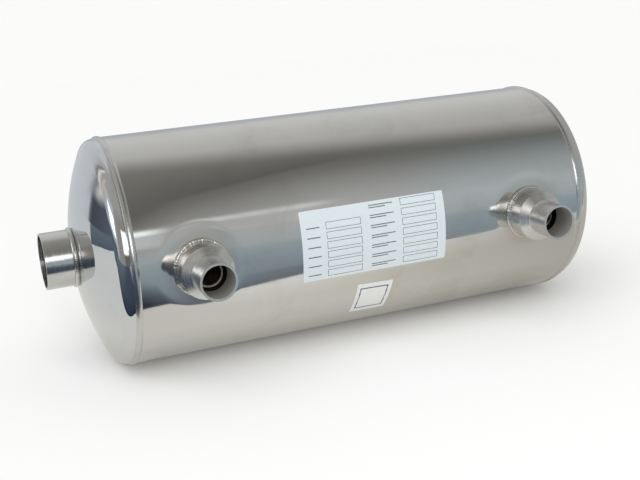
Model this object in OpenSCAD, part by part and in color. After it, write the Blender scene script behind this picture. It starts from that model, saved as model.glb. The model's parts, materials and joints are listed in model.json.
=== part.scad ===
// Pool heat exchanger: a stainless cylinder lying on its side.
// Pool water runs through the cylinder, from the nozzle in one end to the nozzle in the other.
// Heating water runs through a coil inside it, in and out by the two nozzles on the front.
// X runs along the cylinder, the heating nozzles point along -Y and +Z is up.

/* [Shell] */
// Outside diameter of the cylinder
shell_od = 219.1; // [180:0.1:260]
// Wall of the cylinder
shell_wall = 3; // [2:0.1:5]
// Length of the cylinder between its two end joints
shell_len = 452; // [380:1:540]

/* [Ends] */
// Width of the joint bead between cylinder and end
rim_w = 6; // [4:0.1:9]
// Height of the joint bead above the cylinder
rim_rise = 1.2; // [0.4:0.1:2.5]
// Step down from the cylinder to the end's own edge
head_step = 0.6; // [0:0.1:1.2]
// Wall of the dished end
head_wall = 3; // [2:0.1:4]
// Outside radius of the end's crown
crown_r = 235; // [190:1:300]
// Outside radius of the end's knuckle
knuckle_r = 13; // [9:0.1:20]

/* [Pool nozzles] */
// Outside diameter of the pool nozzle
pool_od = 54; // [44:0.1:66]
// Wall of the pool nozzle
pool_wall = 2; // [1.4:0.1:3.5]
// Reach of the pool nozzle beyond the crown
pool_reach = 28; // [20:0.5:45]
// Reach of the pool nozzle inside the crown
pool_inside = 7; // [5:0.5:15]
// Section radius of the bead round the pool nozzle
pool_bead_r = 2.3; // [1.5:0.1:4]
// Step in the pool nozzle's outside, down to the foot that is welded in
foot_step = 0.4; // [0.3:0.05:0.8]
// Length of the foot that stands clear of the bead
foot_land = 0.6; // [0.4:0.1:1.2]

/* [Heating nozzles] */
// Least distance of a heating nozzle from the end of the cylinder
heat_inset = 48; // [44:0.5:56]
// Outside diameter of the stub on the cylinder
stub_od = 48.3; // [42:0.1:56]
// Wall of the stub
stub_wall = 2.6; // [1.8:0.1:3.5]
// Height of the stub above the cylinder
stub_reach = 18.5; // [14:0.5:28]
// Length of the cone between stub and spigot
cone_len = 6; // [4:0.5:12]
// Outside diameter of the spigot
spigot_od = 33.7; // [29:0.1:38]
// Wall of the spigot
spigot_wall = 2; // [1.4:0.1:3]
// Length of the spigot
spigot_len = 26.5; // [18:0.5:40]
// Width of the bead round the stub, along the cylinder
stub_bead_w = 2.8; // [2:0.1:5]
// Height of the bead on the stub
stub_bead_h = 2.6; // [1.6:0.1:4]

/* [Coil] */
// Outside diameter of the coil tube
tube_od = 25; // [20:0.1:28]
// Wall of the coil tube
tube_wall = 1.5; // [1:0.1:2.5]
// Space between the coil and the cylinder's inside, where they are nearest
coil_gap = 6.6; // [5:0.1:11]
// Distance of the coil's axis behind the cylinder's axis, which leaves room for the bends
coil_back = 11.9; // [6:0.1:14]
// Distance of the coil's axis below the cylinder's axis
coil_drop = 5.3; // [2:0.1:8]
// Least space between a lead of the coil and the turn beside it
turn_gap = 1.5; // [0.5:0.1:3]
// Space round the tube where it passes through the cylinder
hole_gap = 1; // [0.5:0.1:2]
// Length of tube standing out of the cylinder, inside the stub
tube_reach = 20; // [14:0.5:28]
// Height of the closing collar above the cylinder
collar_at = 5; // [3:0.5:8]
// Thickness of the closing collar
collar_t = 3; // [2:0.5:6]

/* [Hidden] */
$fn = 96;
// Overrun of every cutting shape
over = 1;
// Fine clearance between a bead and what it is laid on
fine = 0.04;
// Bend radius of the coil tube as a share of its diameter
bend_share = 1.5;
// Steps that the lean of the coil's half turns is rounded up to
lean_step_share = 0.01;
// Distance of a lead from the turn beside it, as a share of a half turn's advance
lead_share = 1.5;
// Steps that the coil's radius and its bends' places are rounded to
coil_grid = 0.05;
bend_grid = 0.05;
// Place of the pool bead's centre: in from the nozzle's skin, up from the crown
bead_shares = [0.22, 0.95];
// Bead section round the stub: width shares and height shares from toe to top
sec_w_shares = [1, 0.8, 0.42, 0];
sec_h_shares = [0, 0.46, 0.84, 1];
// Steps round the stub's bead
bead_steps = 72;

shell_r = shell_od / 2;
shell_ri = shell_r - shell_wall;
half_len = shell_len / 2;
head_r = shell_r - head_step;
// Place of the crown's centre along the axis, from the end's edge
crown_dip = sqrt(pow(crown_r - knuckle_r, 2) - pow(head_r - knuckle_r, 2));
crown_h = crown_r - crown_dip;
// Share of the crown's radius at which the knuckle begins
knuckle_share = (head_r - knuckle_r) / (crown_r - knuckle_r);
head_at = half_len + rim_w;
pool_r = pool_od / 2;
// Height of the crown where the pool nozzle passes through it
crown_at_pool = sqrt(pow(crown_r, 2) - pow(pool_r, 2)) - crown_dip;
mouth_x = head_at + crown_h + pool_reach;
foot_r = pool_r - foot_step;
// Top of the bead round the pool nozzle, and of the nozzle's foot, along the axis
pool_bead_top = head_at + crown_at_pool + pool_bead_r * (1 + bead_shares[1]);
foot_top = pool_bead_top + foot_land;

stub_r = stub_od / 2;
stub_ri = stub_r - stub_wall;
spigot_r = spigot_od / 2;
spigot_ri = spigot_r - spigot_wall;
stub_top = shell_r + stub_reach;
cone_top = stub_top + cone_len;
mouth_y = cone_top + spigot_len;

tube_r = tube_od / 2;
tube_ri = tube_r - tube_wall;
// Radius of a leaning half turn, its advance along the axis and its radius seen along the axis
coil_off = norm([coil_back, coil_drop]);
half_r = round((shell_ri - coil_gap - coil_off - tube_r) / coil_grid) * coil_grid;
// Lean of each half turn of the coil, as the sine of its angle
lean_least = (tube_od + turn_gap) / (2 * half_r * lead_share);
lean_share = ceil(lean_least / lean_step_share) * lean_step_share;
half_step = 2 * half_r * lean_share;
half_tilt = asin(lean_share);
coil_r = half_r * cos(half_tilt);
// An odd number of half turns starts at the top of one end and stops at the foot of the other
halves = 2 * floor(((half_len - heat_inset) * 2 / half_step + 1) / 2) - 1;
// The heating nozzles stand where the coil ends
heat_x = halves * half_step / 2;
bend_r = tube_od * bend_share;
// A bend touches the coil's circle from outside and ends on the nozzle's axis.
// Place of its centre over and in front of the coil's axis, and its angle
function bend_z(side) = coil_drop - side * bend_r;
function bend_y(side) =
    round(sqrt(pow(coil_r + bend_r, 2) - pow(bend_z(side), 2)) / bend_grid) * bend_grid;
function bend_turn(side) = 90 - asin(abs(bend_z(side)) / (coil_r + bend_r));

// The object stands on its joint beads, with the middle of its box over the origin
axis_z = shell_r + rim_rise;
axis_y = (mouth_y - axis_z) / 2;

steel = [0.74, 0.74, 0.73];
bright = [0.80, 0.80, 0.80];
bead = [0.66, 0.65, 0.63];
dark = [0.55, 0.55, 0.54];

// Frames: the cylinder's axis, the coil's axis, one end looking outwards and one heating nozzle
module on_axis() {
    translate([0, axis_y, axis_z]) children();
}

module on_coil_axis() {
    on_axis() translate([0, coil_back, -coil_drop]) children();
}

module at_end(side) {
    on_axis() rotate([0, side * 90, 0]) children();
}

module at_nozzle(side) {
    on_axis() translate([side * heat_x, 0, 0]) rotate([90, 0, 0]) children();
}

module tube(outer, inner, from, to) {
    translate([0, 0, from]) difference() {
        cylinder(r = outer, h = to - from);
        translate([0, 0, -over]) cylinder(r = inner, h = to - from + 2 * over);
    }
}

module tube_ring() {
    difference() {
        circle(r = tube_r);
        circle(r = tube_ri);
    }
}

// Cylinder with the two holes that the coil tube passes through
module shell() {
    color(steel) difference() {
        on_axis() rotate([0, 90, 0]) translate([0, 0, -half_len])
            tube(shell_r, shell_ri, 0, shell_len);
        for (side = [-1, 1])
            at_nozzle(side) cylinder(r = tube_r + hole_gap, h = shell_r + over);
    }
}

// Half section of a dished end, to a given depth under its outside
module dish(depth) {
    edge = (crown_r - depth) * knuckle_share;
    intersection() {
        translate([0, -crown_dip]) circle(r = crown_r - depth);
        translate([0, -depth]) square([edge, crown_h + depth]);
    }
    intersection() {
        translate([head_r - knuckle_r, 0]) circle(r = knuckle_r - depth);
        translate([0, -depth]) square([head_r, crown_h + depth]);
    }
}

module head(side) {
    color(bright) at_end(side) translate([0, 0, head_at]) rotate_extrude() difference() {
        dish(0);
        dish(head_wall);
        translate([0, -over]) square([foot_r + fine, crown_h + 2 * over]);
    }
}

// Joint between the cylinder and an end: a full ring with a crowned outside
module rim_bead(side) {
    arc = (pow(rim_w / 2, 2) + pow(rim_rise, 2)) / (2 * rim_rise);
    color(bead) at_end(side) translate([0, 0, half_len]) rotate_extrude() {
        translate([shell_ri, 0]) square([shell_wall, rim_w]);
        intersection() {
            translate([shell_r + rim_rise - arc, rim_w / 2]) circle(r = arc);
            translate([shell_ri, 0]) square([shell_wall + rim_rise, rim_w]);
        }
    }
}

// Turned tube with a slightly narrower foot in the crown and in the bead
module pool_nozzle(side) {
    start = head_at + crown_h - pool_inside;
    color(steel) at_end(side) difference() {
        tube(pool_r, pool_r - pool_wall, start, mouth_x);
        tube(pool_od, foot_r, start - over, foot_top);
    }
}

module pool_bead(side) {
    color(bead) at_end(side) translate([0, 0, head_at]) rotate_extrude() difference() {
        translate([pool_r - pool_bead_r * bead_shares[0],
            crown_at_pool + pool_bead_r * bead_shares[1]])
            circle(r = pool_bead_r);
        square([foot_r, crown_h + 3 * pool_bead_r]);
        translate([0, -crown_dip]) circle(r = crown_r);
    }
}

// Stub cut to sit on the cylinder
module stub(side) {
    color(steel) at_nozzle(side) difference() {
        tube(stub_r, stub_ri, shell_r - stub_r, stub_top);
        rotate([0, 90, 0]) cylinder(r = shell_r, h = 2 * stub_od, center = true);
    }
}

// Bead that follows the line where the stub meets the cylinder
module stub_bead(side) {
    root = stub_r + fine;
    steps = [for (i = [0 : bead_steps - 1]) i * 360 / bead_steps];
    points = [for (a = steps) each concat(
        [[root * cos(a), root * sin(a), sqrt(pow(shell_r, 2) - pow(root * sin(a), 2)) + fine]],
        [for (k = [0 : len(sec_w_shares) - 1])
            let (r = root + stub_bead_w * sec_w_shares[k])
            [r * cos(a), r * sin(a),
                sqrt(pow(shell_r, 2) - pow(r * sin(a), 2)) + fine + stub_bead_h * sec_h_shares[k]]])];
    n = len(sec_w_shares) + 1;
    faces = [for (i = [0 : bead_steps - 1], k = [0 : n - 1])
        let (j = (i + 1) % bead_steps, m = (k + 1) % n)
        each [[i * n + k, j * n + k, j * n + m], [i * n + k, j * n + m, i * n + m]]];
    color(bead) at_nozzle(side) polyhedron(points = points, faces = faces);
}

module reducer(side) {
    color(steel) at_nozzle(side) translate([0, 0, stub_top]) difference() {
        cylinder(r1 = stub_r, r2 = spigot_r, h = cone_len);
        cylinder(r1 = stub_ri, r2 = spigot_ri, h = cone_len);
    }
}

module spigot(side) {
    color(steel) at_nozzle(side) tube(spigot_r, spigot_ri, cone_top, mouth_y);
}

// Ring that closes the space between the coil tube and the stub
module collar(side) {
    color(dark) at_nozzle(side)
        tube(stub_ri, tube_r, shell_r + collar_at, shell_r + collar_at + collar_t);
}

// Coil of one tube: half turns that lean one way and the other in turn, end to end
module coil() {
    color(dark) on_coil_axis() for (k = [0 : halves - 1])
        translate([(k - (halves - 1) / 2) * half_step, 0, 0]) rotate([180 * (k % 2), 0, 0])
            rotate([0, -90 - half_tilt, 0]) rotate_extrude(angle = 180)
            translate([half_r, 0]) tube_ring();
}

// Flat arc that leads the coil's end round to the bend
module coil_lead(side) {
    color(dark) on_coil_axis() translate([side * heat_x, 0, 0])
        rotate([90 + side * 90, 0, 90 - side * 90]) rotate([0, -90, 0])
        rotate_extrude(angle = bend_turn(side)) translate([coil_r, 0]) tube_ring();
}

// End of the coil tube: a bend off the coil's circle and a straight piece through the cylinder
module coil_leg(side) {
    color(dark) {
        on_coil_axis() translate([side * heat_x, -bend_y(side), bend_z(side)])
            rotate([0, -side * 90, 0]) rotate_extrude(angle = bend_turn(side))
            translate([bend_r, 0]) tube_ring();
        at_nozzle(side) tube(tube_r, tube_ri, bend_y(side) - coil_back, shell_r + tube_reach);
    }
}

shell();
head(-1);  // left_head
head(1);  // right_head
rim_bead(-1);  // left_rim_bead
rim_bead(1);  // right_rim_bead
pool_nozzle(-1);  // left_pool_nozzle
pool_nozzle(1);  // right_pool_nozzle
pool_bead(-1);  // left_pool_bead
pool_bead(1);  // right_pool_bead
stub(-1);  // left_stub
stub(1);  // right_stub
stub_bead(-1);  // left_stub_bead
stub_bead(1);  // right_stub_bead
reducer(-1);  // left_reducer
reducer(1);  // right_reducer
spigot(-1);  // left_spigot
spigot(1);  // right_spigot
collar(-1);  // left_collar
collar(1);  // right_collar
coil();
coil_lead(-1);  // left_coil_lead
coil_lead(1);  // right_coil_lead
coil_leg(-1);  // left_coil_leg
coil_leg(1);  // right_coil_leg
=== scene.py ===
# %% [markdown]
# # Pool heat exchanger
# A stainless steel cylinder lies on its side. Pool water runs through it from the nozzle in one dished end
# to the nozzle in the other, and heating water runs through a tube coil inside, by the two short nozzles on
# the front. The solids come ready-made from the CAD model. This scene gives each of them its own steel
# finish, lays rippled weld beads and printed labels on them, and sets up the floor, the light and the camera.

import json
import math

import bpy
from mathutils import Matrix, Vector

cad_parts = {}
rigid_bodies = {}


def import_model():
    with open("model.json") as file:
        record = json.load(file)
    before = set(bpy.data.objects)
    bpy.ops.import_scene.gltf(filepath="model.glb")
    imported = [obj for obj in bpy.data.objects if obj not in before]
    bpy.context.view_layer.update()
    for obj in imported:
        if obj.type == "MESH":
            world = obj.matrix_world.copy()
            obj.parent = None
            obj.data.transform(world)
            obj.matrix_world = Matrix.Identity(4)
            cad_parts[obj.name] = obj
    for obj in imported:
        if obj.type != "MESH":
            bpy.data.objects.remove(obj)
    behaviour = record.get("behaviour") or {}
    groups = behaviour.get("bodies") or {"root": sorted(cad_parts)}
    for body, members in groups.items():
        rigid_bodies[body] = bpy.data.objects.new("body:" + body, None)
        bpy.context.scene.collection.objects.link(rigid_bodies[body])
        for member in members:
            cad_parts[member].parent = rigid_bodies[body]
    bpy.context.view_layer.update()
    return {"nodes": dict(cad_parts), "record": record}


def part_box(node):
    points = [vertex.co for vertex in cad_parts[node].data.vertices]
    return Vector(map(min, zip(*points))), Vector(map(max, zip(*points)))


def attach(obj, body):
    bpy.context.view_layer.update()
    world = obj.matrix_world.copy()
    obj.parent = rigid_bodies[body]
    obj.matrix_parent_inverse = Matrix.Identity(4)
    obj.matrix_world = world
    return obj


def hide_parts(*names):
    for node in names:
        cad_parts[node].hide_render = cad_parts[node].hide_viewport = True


def put_in(made):
    """An object made here goes into the scene."""
    bpy.context.scene.collection.objects.link(made)


for leftover in list(bpy.data.objects):
    bpy.data.objects.remove(leftover)
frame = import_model()
solids = frame["nodes"]

shell_low, shell_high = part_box("shell")
axis = (shell_low + shell_high) / 2
shell_r = (shell_high.z - shell_low.z) / 2
print("solids", len(solids), "shell radius", round(shell_r, 5), "axis", [round(c, 4) for c in axis])

# %% [markdown]
# ## Camera
# The view was worked out from the outlines in the photograph: the two ends of the cylinder give the direction
# of its axis, and their difference in size gives the distance. A camera could be aimed with a Track To
# constraint, but then its roll would be lost, so its three directions are written straight into a matrix.

# %% Camera
PHOTO_WIDTH = 640
FOCAL_PIXELS = 1034.78
SENSOR_MM = 36.0
eye = Vector((-0.3891, -0.9453, 0.3633))
to_right = Vector((0.92453, -0.37553, -0.06493))
to_top = Vector((0.15491, 0.21465, 0.96432))

camera_data = bpy.data.cameras.new("photo_camera")
camera_data.sensor_width = SENSOR_MM
camera_data.sensor_fit = "HORIZONTAL"
camera_data.lens = FOCAL_PIXELS / PHOTO_WIDTH * SENSOR_MM
camera = bpy.data.objects.new("photo_camera", camera_data)
directions = Matrix((to_right, to_top, to_right.cross(to_top))).transposed()
camera.matrix_world = Matrix.Translation(eye) @ directions.to_4x4()
put_in(camera)
bpy.context.scene.camera = camera
print("lens", round(camera_data.lens, 2), "mm")

# %% [markdown]
# ## Small helpers for node trees
# Materials, shader groups and Geometry Nodes are all trees of nodes. Every node could be made and wired line
# by line, but that hides what a tree does. So a few helpers make a node and fill its inputs, with a plain
# value or with a wire from another node, and make and use groups with named sockets.

# %% Helpers: nodes and their inputs
# A Mix node has one set of sockets for numbers and one for colours: share, first, second and result.
MIX_SOCKETS = {"FLOAT": (0, 2, 3, 0), "RGBA": (0, 6, 7, 2)}


def feed(tree, socket, value):
    """A wire if the value is another node's output, and a plain value otherwise."""
    if isinstance(value, bpy.types.NodeSocket):
        tree.links.new(value, socket)
    else:
        socket.default_value = value


def add(tree, kind, inputs=None, **settings):
    """A new node with its settings made and its inputs fed."""
    made = tree.nodes.new(kind)
    for name, value in settings.items():
        setattr(made, name, value)
    for name, value in (inputs or {}).items():
        feed(tree, made.inputs[name], value)
    return made


def calc(tree, operation, a, b=0.0, c=0.0):
    """The result of one Math node."""
    return add(tree, "ShaderNodeMath", {0: a, 1: b, 2: c}, operation=operation).outputs[0]


def mix(tree, share, first, second):
    """Part of the way from first to second: colours where second is a tuple, and numbers otherwise."""
    kind = "RGBA" if isinstance(second, tuple) else "FLOAT"
    *places, result = MIX_SOCKETS[kind]
    made = add(tree, "ShaderNodeMix", data_type=kind)
    for at, value in zip(places, (share, first, second)):
        feed(tree, made.inputs[at], (*value, 1.0) if isinstance(value, tuple) else value)
    return made.outputs[result]


print("helpers for nodes are ready")


# %% Helpers: groups
def new_group(name, kind, takes, gives=(("Geometry", "Geometry"),)):
    """takes lists (name, socket type, value), gives lists (name, socket type)."""
    tree = bpy.data.node_groups.new(name, kind)
    for label, socket, value in takes:
        made = tree.interface.new_socket(label, in_out="INPUT", socket_type="NodeSocket" + socket)
        if value is not None:
            made.default_value = value
    for label, socket in gives:
        tree.interface.new_socket(label, in_out="OUTPUT", socket_type="NodeSocket" + socket)
    return tree, add(tree, "NodeGroupInput").outputs, add(tree, "NodeGroupOutput").inputs


def place(tree, group, kind="ShaderNodeGroup", **inputs):
    """A group used in a tree. An underscore in the name of an input stands for a space."""
    made = tree.nodes.new(kind)
    made.node_tree = group
    for name, value in inputs.items():
        feed(tree, made.inputs[name.replace("_", " ")], value)
    return made.outputs


print("helpers for groups are ready")

# %% [markdown]
# ## What all the steel shares
# Every steel surface here has three things in common, in different amounts: fine lines that rolling, turning
# or polishing leaves, dull marks where hands and cloths went over it, and a slow wave in the sheet that makes
# mirror images wobble. Each could be drawn anew in every material. Shader groups with named inputs keep them
# in one place.

# %% Shader group: fine lines
fine_lines, takes, gives = new_group(
    "fine_lines", "ShaderNodeTree",
    [("Coordinates", "Vector", None), ("Stretch", "Vector", (1000.0, 20.0, 20.0))],
    [("Lines", "Float")],
)
stretched = add(fine_lines, "ShaderNodeVectorMath", {0: takes["Coordinates"], 1: takes["Stretch"]},
                operation="MULTIPLY").outputs[0]
grain = add(fine_lines, "ShaderNodeTexNoise",
            {"Vector": stretched, "Scale": 1.0, "Detail": 3.0, "Roughness": 0.6}).outputs[0]
spread = add(fine_lines, "ShaderNodeMapRange", {"Value": grain, "From Min": 0.3, "From Max": 0.7})
feed(fine_lines, gives["Lines"], spread.outputs[0])
print(fine_lines.name, len(fine_lines.nodes), "nodes")

# %% Shader group: handling marks
SMEARS_PER_PATCH = 7.0
BARE_START, COVER_GAIN, EDGE_SOFTNESS = 0.75, 0.5, 0.22

handling_marks, takes, gives = new_group(
    "handling_marks", "ShaderNodeTree",
    [("Coordinates", "Vector", None), ("Size", "Float", 0.05), ("Cover", "Float", 0.4)],
    [("Marks", "Float")],
)
per_metre = calc(handling_marks, "DIVIDE", 1.0, takes["Size"])
patch = add(handling_marks, "ShaderNodeTexNoise",
            {"Vector": takes["Coordinates"], "Scale": per_metre, "Detail": 4.0, "Roughness": 0.55,
             "Distortion": 0.6}).outputs[0]
finer = calc(handling_marks, "MULTIPLY", per_metre, SMEARS_PER_PATCH)
smear = add(handling_marks, "ShaderNodeTexNoise",
            {"Vector": takes["Coordinates"], "Scale": finer, "Detail": 3.0}).outputs[0]
covered = calc(handling_marks, "MULTIPLY", takes["Cover"], COVER_GAIN)
start = calc(handling_marks, "SUBTRACT", BARE_START, covered)
full = calc(handling_marks, "ADD", start, EDGE_SOFTNESS)
worn = add(handling_marks, "ShaderNodeMapRange", {"Value": patch, "From Min": start, "From Max": full})
broken = add(handling_marks, "ShaderNodeMapRange",
             {"Value": smear, "From Min": 0.3, "From Max": 0.65, "To Min": 0.35})
feed(handling_marks, gives["Marks"], calc(handling_marks, "MULTIPLY", worn.outputs[0], broken.outputs[0]))
print(handling_marks.name, len(handling_marks.nodes), "nodes")

# %% Shader group: slow wave
slow_wave, takes, gives = new_group(
    "slow_wave", "ShaderNodeTree",
    [("Coordinates", "Vector", None), ("Size", "Float", 0.1)],
    [("Height", "Float")],
)
per_metre = calc(slow_wave, "DIVIDE", 1.0, takes["Size"])
swell = add(slow_wave, "ShaderNodeTexNoise",
            {"Vector": takes["Coordinates"], "Scale": per_metre, "Detail": 0.5})
feed(slow_wave, gives["Height"], swell.outputs[0])
print(slow_wave.name, len(slow_wave.nodes), "nodes")

# %% [markdown]
# ## Steel finishes
# All the steel is the same metal, and looks different only by how it was worked: the cylinder is polished
# sheet, the ends are mirror bright, the pool nozzles are turned, the heating nozzles brushed. So one function
# builds a steel from the three groups, and each finish is that function with its own amounts. Heights are in
# metres and go through one Bump node, so a depth reads as a real depth.


# %% One function for every steel finish
def blank_finish(name):
    """A new material, its empty tree, and the place on the object in Object coordinates."""
    finish = bpy.data.materials.new(name)
    finish.use_nodes = True
    finish.node_tree.nodes.clear()
    return finish, finish.node_tree, add(finish.node_tree, "ShaderNodeTexCoord").outputs["Object"]


def bump(tree, height):
    """The normal of a surface whose height is given in metres."""
    return add(tree, "ShaderNodeBump", {"Strength": 1.0, "Distance": 1.0, "Height": height}).outputs[0]


def steel_finish(name, tone, dull, rough, stretch, line_rough, line_depth, mark, wave):
    """mark is (patch size, cover, added roughness), wave is (length, depth), all in metres or shares."""
    finish, tree, spot = blank_finish(name)
    lines = place(tree, fine_lines, Coordinates=spot, Stretch=stretch)["Lines"]
    mark_size, mark_cover, mark_rough = mark
    marks = place(tree, handling_marks, Coordinates=spot, Size=mark_size, Cover=mark_cover)["Marks"]
    wave_length, wave_depth = wave
    swell = place(tree, slow_wave, Coordinates=spot, Size=wave_length)["Height"]
    roughness = calc(tree, "MULTIPLY_ADD", lines, line_rough, rough)
    roughness = calc(tree, "MULTIPLY_ADD", marks, mark_rough, roughness)
    height = calc(tree, "MULTIPLY_ADD", lines, line_depth, calc(tree, "MULTIPLY", swell, wave_depth))
    shader = add(tree, "ShaderNodeBsdfPrincipled", {
        "Base Color": mix(tree, marks, tone, dull), "Metallic": 1.0, "Roughness": roughness,
        "Normal": bump(tree, height)})
    add(tree, "ShaderNodeOutputMaterial", {"Surface": shader.outputs[0]})
    print(name, len(tree.nodes), "nodes")
    return finish


# %% Seven steel finishes
finishes = {
    "polished_shell": steel_finish(
        "polished_shell_steel", tone=(0.70, 0.695, 0.68), dull=(0.62, 0.61, 0.585), rough=0.07,
        stretch=(2200, 25, 25), line_rough=0.04, line_depth=1.5e-6,
        mark=(0.06, 0.45, 0.08), wave=(0.11, 2.2e-4)),
    "mirror_head": steel_finish(
        "mirror_end_steel", tone=(0.74, 0.745, 0.75), dull=(0.68, 0.68, 0.68), rough=0.03,
        stretch=(350, 350, 350), line_rough=0.02, line_depth=2e-7,
        mark=(0.04, 0.4, 0.05), wave=(0.07, 4e-5)),
    "joint_bead": steel_finish(
        "joint_bead_steel", tone=(0.67, 0.67, 0.66), dull=(0.56, 0.55, 0.53), rough=0.16,
        stretch=(60, 700, 700), line_rough=0.10, line_depth=6e-6,
        mark=(0.02, 0.5, 0.12), wave=(0.02, 4e-5)),
    "turned_nozzle": steel_finish(
        "turned_nozzle_steel", tone=(0.71, 0.71, 0.70), dull=(0.60, 0.59, 0.57), rough=0.11,
        stretch=(1300, 14, 14), line_rough=0.12, line_depth=2.5e-5,
        mark=(0.03, 0.4, 0.08), wave=(0.03, 2e-5)),
    "brushed_nozzle": steel_finish(
        "brushed_nozzle_steel", tone=(0.79, 0.785, 0.77), dull=(0.68, 0.67, 0.65), rough=0.22,
        stretch=(25, 1700, 25), line_rough=0.12, line_depth=6e-6,
        mark=(0.022, 0.45, 0.10), wave=(0.02, 2e-5)),
    "weld_bead": steel_finish(
        "weld_bead_steel", tone=(0.72, 0.71, 0.69), dull=(0.55, 0.52, 0.48), rough=0.13,
        stretch=(500, 500, 500), line_rough=0.08, line_depth=4e-6,
        mark=(0.009, 0.5, 0.10), wave=(0.006, 6e-5)),
    "coil_tube": steel_finish(
        "coil_tube_steel", tone=(0.68, 0.62, 0.54), dull=(0.56, 0.50, 0.43), rough=0.30,
        stretch=(300, 300, 300), line_rough=0.10, line_depth=4e-6,
        mark=(0.02, 0.5, 0.15), wave=(0.02, 2e-5)),
}
print("finishes", sorted(finishes))

# %% Put each finish on its solids
worn_by = {part["node"]: part["material_slot"] for part in frame["record"]["subparts"]}
for name, solid in solids.items():
    for slot in solid.material_slots:
        slot.material = finishes[worn_by[name]]
print("solids with a finish", len(worn_by))

# %% [markdown]
# ## Where the heating nozzles change the steel
# Three things depend on how far a place is from a heating nozzle's axis. The weld's heat leaves a
# straw-coloured ring in the sheet and draws it in a little. The inside of a nozzle was never brushed: it is
# matt, and behind the cone it carries a painted shade, near black. The collar round the coil tube carries
# the same painted shade. Painted masks would do, but the distance comes from Object coordinates with a few
# Math nodes, in one group. The two nozzles stand at equal distances from the middle, so the absolute value
# of X serves both.


# %% Shader group: distance from a heating nozzle's axis
def half_width(node):
    """Half of a solid's size along the cylinder, which is the radius of one that points to the front."""
    low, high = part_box(node)
    return (high.x - low.x) / 2


stub_low, stub_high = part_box("right_stub")
heat_x = (stub_low.x + stub_high.x) / 2
stub_r, spigot_r, tube_r = (half_width(node) for node in ("right_stub", "right_spigot", "right_coil_leg"))

from_nozzle, takes, gives = new_group(
    "from_nozzle", "ShaderNodeTree",
    [("Coordinates", "Vector", None)],
    [("Distance", "Float"), ("Depth", "Float")],
)
parts = add(from_nozzle, "ShaderNodeSeparateXYZ", {0: takes["Coordinates"]}).outputs
aside = calc(from_nozzle, "SUBTRACT", calc(from_nozzle, "ABSOLUTE", parts[0]), heat_x)
above = calc(from_nozzle, "SUBTRACT", parts[2], axis.z)
squares = calc(from_nozzle, "MULTIPLY_ADD", aside, aside, calc(from_nozzle, "MULTIPLY", above, above))
feed(from_nozzle, gives["Distance"], calc(from_nozzle, "SQRT", squares))
feed(from_nozzle, gives["Depth"], parts[1])
print("nozzle axis at x", round(heat_x, 4), "radius of stub, spigot and tube",
      [round(r, 5) for r in (stub_r, spigot_r, tube_r)])


# %% Helpers: change a finish that is already built
def reopen(slot):
    """A finish's tree, its shader, its Bump node, and the distance and depth at a nozzle."""
    tree = finishes[slot].node_tree
    found = {made.bl_idname: made for made in tree.nodes}
    spot = found["ShaderNodeTexCoord"].outputs["Object"]
    away = place(tree, from_nozzle, Coordinates=spot)
    return tree, found["ShaderNodeBsdfPrincipled"], found["ShaderNodeBump"], away["Distance"], away["Depth"]


def ramp(tree, value, low, high, to_low=0.0, to_high=1.0):
    """A smooth change from to_low to to_high while the value goes from low to high."""
    return add(tree, "ShaderNodeMapRange",
               {"Value": value, "From Min": low, "From Max": high, "To Min": to_low, "To Max": to_high},
               interpolation_type="SMOOTHERSTEP").outputs[0]


def lay_over(tree, socket, mask, value):
    """Show a colour or a number on a shader's socket where the mask is 1."""
    feed(tree, socket, mix(tree, mask, socket.links[0].from_socket, value))


print("helpers for finishes are ready")

# %% Heat tint and drawn-in sheet on the shell
STRAW = (0.52, 0.45, 0.36)
TINT_FULL, TINT_REACH, TINT_SHARE = 0.003, 0.014, 0.35
DIP_REACH, DIP_DEPTH = 0.020, 0.0012

tree, shader, relief, distance, depth = reopen("polished_shell")
in_front = calc(tree, "LESS_THAN", depth, axis.y)
ring = ramp(tree, distance, stub_r + TINT_REACH, stub_r + TINT_FULL, 0.0, TINT_SHARE)
lay_over(tree, shader.inputs["Base Color"], calc(tree, "MULTIPLY", ring, in_front), STRAW)
hollow = ramp(tree, distance, stub_r + DIP_REACH, stub_r, 0.0, -DIP_DEPTH)
dip = calc(tree, "MULTIPLY", hollow, in_front)
height = relief.inputs["Height"]
feed(tree, height, calc(tree, "ADD", height.links[0].from_socket, dip))
print("shell", len(tree.nodes), "nodes")

# %% Matt inside of the nozzles, and painted shade behind the cone
MATT, MATT_ROUGH, MATT_METALLIC = (0.40, 0.39, 0.37), 0.6, 0.4
# Painted shade: near black deep inside a nozzle behind the cone, and on the coil tube's collars.
PAINTED_DEEP_SHADE, DEEP_SHADE_SOFT = (0.05, 0.045, 0.04), 0.001
SKIN = 0.0012

tree, shader, relief, distance, depth = reopen("brushed_nozzle")
cone_front, cone_back = (corner.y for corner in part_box("right_reducer"))
outside = add(tree, "ShaderNodeMapRange", {
    "Value": depth, "From Min": cone_front, "From Max": cone_back,
    "To Min": spigot_r - SKIN, "To Max": stub_r - SKIN}).outputs[0]
inner = calc(tree, "LESS_THAN", distance, outside)
lay_over(tree, shader.inputs["Base Color"], inner, MATT)
feed(tree, shader.inputs["Metallic"], calc(tree, "MULTIPLY_ADD", inner, MATT_METALLIC - 1.0, 1.0))
lay_over(tree, shader.inputs["Roughness"], inner, MATT_ROUGH)
# Painted shade on the inside of the nozzle, behind the cone.
shade_behind_cone = ramp(tree, depth, cone_front - DEEP_SHADE_SOFT, cone_front + DEEP_SHADE_SOFT)
lay_over(tree, shader.inputs["Base Color"], calc(tree, "MULTIPLY", inner, shade_behind_cone), PAINTED_DEEP_SHADE)
print("nozzle", len(tree.nodes), "nodes")

# %% Painted shade on the collars round the coil tube
TUBE_CLEARANCE, COLLAR_CLEARANCE = 0.0002, 0.0005

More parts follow.
